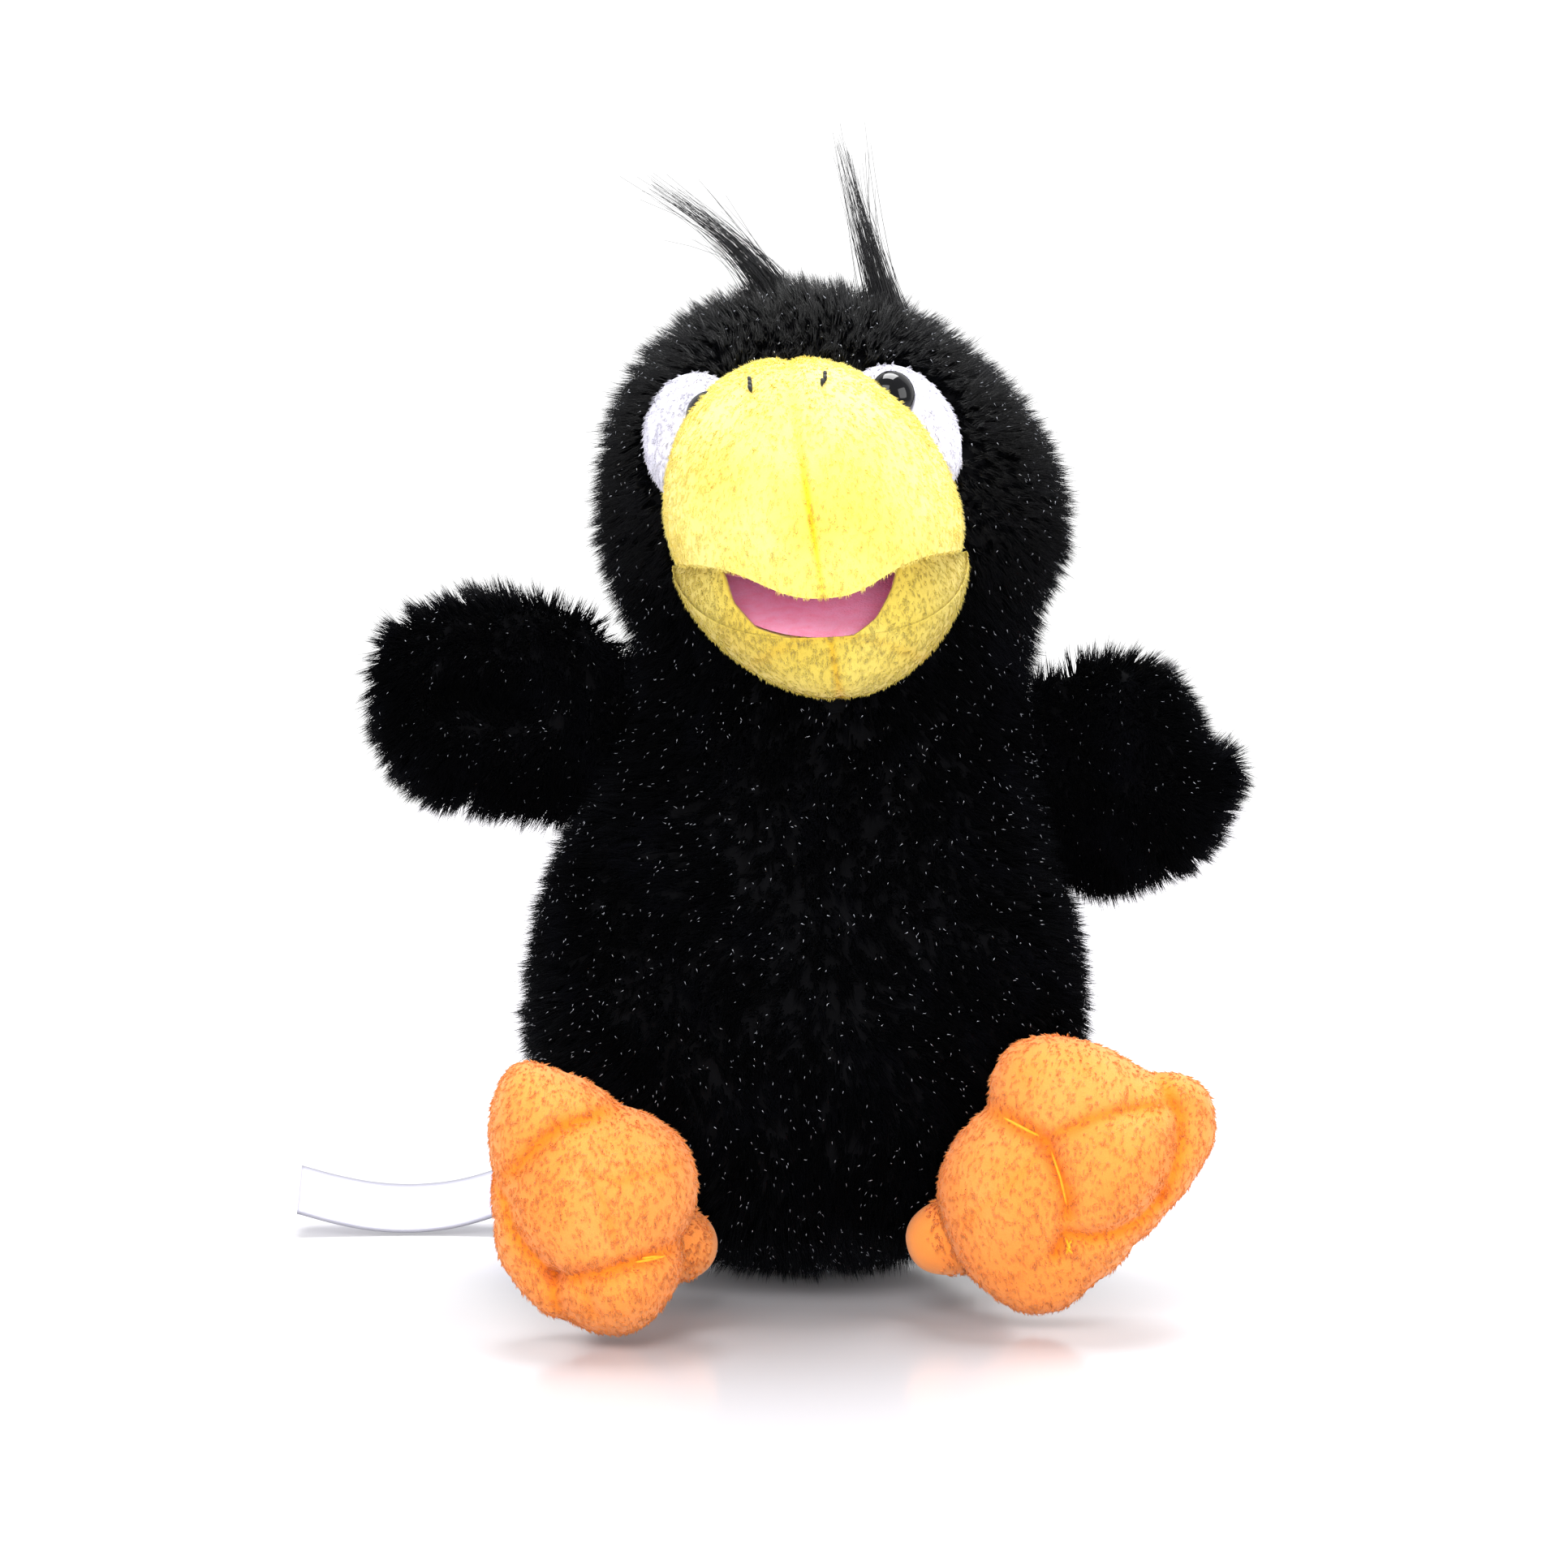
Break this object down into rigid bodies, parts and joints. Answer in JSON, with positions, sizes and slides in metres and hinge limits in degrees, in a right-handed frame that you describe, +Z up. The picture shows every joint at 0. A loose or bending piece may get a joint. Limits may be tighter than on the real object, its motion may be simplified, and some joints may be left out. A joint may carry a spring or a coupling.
{
  "type": "moving mouth hand puppet",
  "caption": "Seated black fur bird hand puppet with a hinged two-part beak, domed eyes, two wings and two stuffed lobed feet.",
  "frame": {"origin": "centre of the flat patch of the seat, on the surface that the puppet sits on", "axes": "+Z up, -Y the way the puppet faces, +X towards the puppet's own left wing"},
  "size_m": [0.2411, 0.1634, 0.279],
  "materials": {
    "black_fur": "long-pile faux fur",
    "crest_fibre": "long straight fibres",
    "stuffing": "polyester fibre fill",
    "lining": "plain woven lining",
    "pellet_bag": "plain cotton bag of plastic pellets",
    "satin_tape": "blank woven satin",
    "yellow_plush": "short-pile plush",
    "pink_fleece": "brushed fleece",
    "mouth_board": "flexible stiffener board",
    "white_plush": "short-pile plush",
    "washer_plastic": "moulded",
    "eye_plastic": "polished",
    "black_thread": "embroidery thread",
    "orange_thread": "sewing thread",
    "orange_plush": "short-pile plush"
  },
  "bodies": {
    "body": {"body_cover": "black_fur", "body_stuffing": "stuffing", "sleeve_lining": "lining", "opening_hem": "lining", "seat_pellet_bag": "pellet_bag", "care_label": "satin_tape"},
    "neck": {"neck_lining": "lining"},
    "head": {"head_cover": "black_fur", "head_stuffing": "stuffing", "upper_beak_left_panel": "yellow_plush", "upper_beak_right_panel": "yellow_plush", "upper_beak_stuffing": "stuffing", "upper_mouth_lining": "pink_fleece", "upper_mouth_plate": "mouth_board", "left_eye_patch": "white_plush", "right_eye_patch": "white_plush", "left_eye": "eye_plastic", "right_eye": "eye_plastic", "left_eye_washer": "washer_plastic", "right_eye_washer": "washer_plastic", "nostril_stitches": "black_thread", "left_crest_tuft": "crest_fibre", "right_crest_tuft": "crest_fibre"},
    "jaw": {"lower_beak_left_panel": "yellow_plush", "lower_beak_right_panel": "yellow_plush", "lower_beak_stuffing": "stuffing", "lower_mouth_lining": "pink_fleece", "lower_mouth_plate": "mouth_board"},
    "left_wing": {"left_wing_cover": "black_fur", "left_wing_stuffing": "stuffing"},
    "left_leg": {"left_leg_tube": "orange_plush", "left_foot_sole": "orange_plush", "left_foot_upper": "orange_plush", "left_foot_stuffing": "stuffing", "left_foot_stitches": "orange_thread"},
    "right_wing": {"right_wing_cover": "black_fur", "right_wing_stuffing": "stuffing"},
    "right_leg": {"right_leg_tube": "orange_plush", "right_foot_sole": "orange_plush", "right_foot_upper": "orange_plush", "right_foot_stuffing": "stuffing", "right_foot_stitches": "orange_thread"}
  },
  "joints": [
    {"name": "head_turn", "type": "hinge", "parent": "body", "child": "neck", "pos_m": [0.0065, 0, 0.115], "axis": [0, 0, 1], "range_deg": [-25, 25]},
    {"name": "head_nod", "type": "hinge", "parent": "neck", "child": "head", "pos_m": [0.0065, 0, 0.115], "axis": [1, 0, 0], "range_deg": [-12, 12]},
    {"name": "jaw_hinge", "type": "hinge", "parent": "head", "child": "jaw", "pos_m": [0.003, -0.044, 0.183], "axis": [0.9988, 0, 0.0499], "range_deg": [-15, 15]},
    {"name": "left_wing_flap", "type": "hinge", "parent": "body", "child": "left_wing", "pos_m": [0.0632, -0.001, 0.1225], "axis": [0.1564, 0, -0.9877], "range_deg": [-30, 50]},
    {"name": "right_wing_flap", "type": "hinge", "parent": "body", "child": "right_wing", "pos_m": [-0.0523, -0.001, 0.134], "axis": [0.2756, 0, 0.9613], "range_deg": [-30, 50]},
    {"name": "left_leg_swing", "type": "hinge", "parent": "body", "child": "left_leg", "pos_m": [0.033, -0.057, 0.019], "axis": [1, 0, 0], "range_deg": [-8, 60]},
    {"name": "right_leg_swing", "type": "hinge", "parent": "body", "child": "right_leg", "pos_m": [-0.03, -0.059, 0.018], "axis": [1, 0, 0], "range_deg": [-8, 60]}
  ]
}
